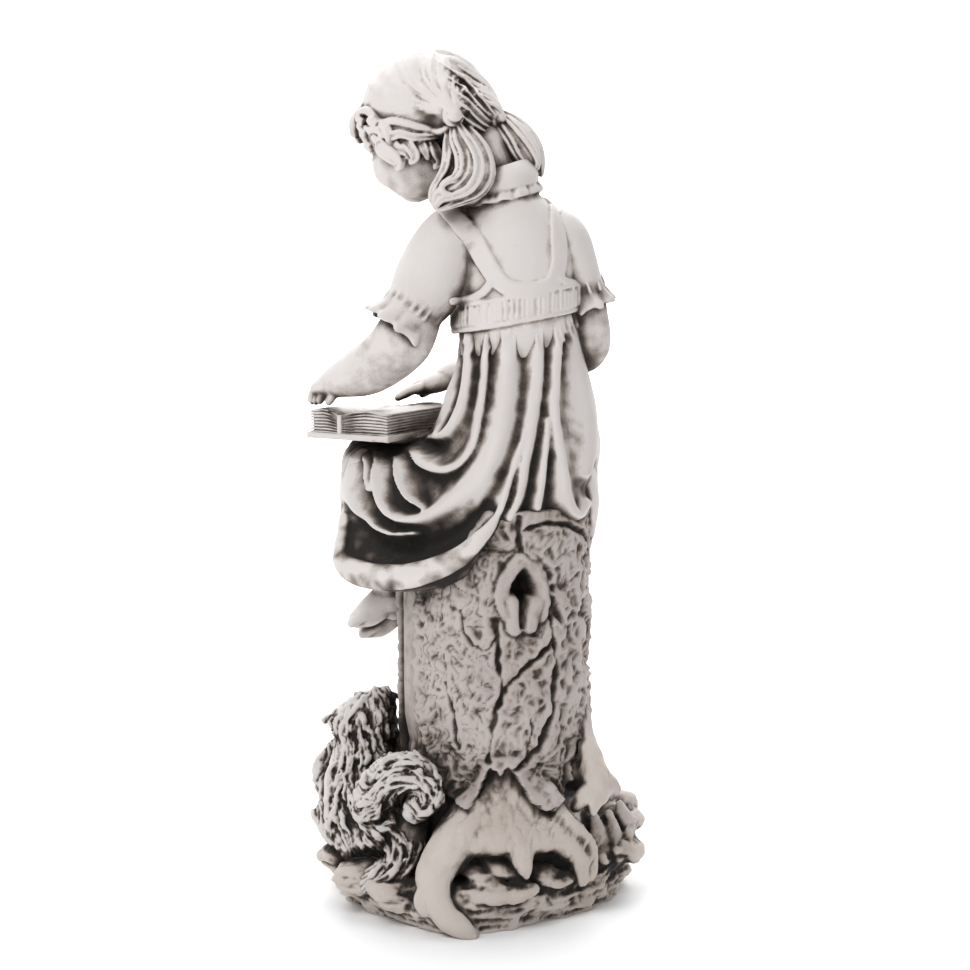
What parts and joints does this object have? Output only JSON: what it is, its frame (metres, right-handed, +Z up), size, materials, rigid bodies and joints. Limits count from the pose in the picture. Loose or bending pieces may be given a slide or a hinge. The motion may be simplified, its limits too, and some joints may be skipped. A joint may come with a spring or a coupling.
{
  "type": "garden statue",
  "caption": "Cast-stone garden figure of a girl who sits on a bark-covered tree stump and reads a book, with a curly puppy among the roots at its foot.",
  "frame": {"origin": "middle of the trunk's axis, nearly, on the flat underside of the base", "axes": "+Z up; -Y towards whoever stands behind the girl, as in the picture; +X to her right-hand side as seen from there; she faces -X and +Y"},
  "size_m": [0.3304, 0.3001, 0.8177],
  "materials": {
    "cast_stone": "matte"
  },
  "bodies": {
    "root": {"reading_girl_statue": "cast_stone"}
  },
  "joints": []
}
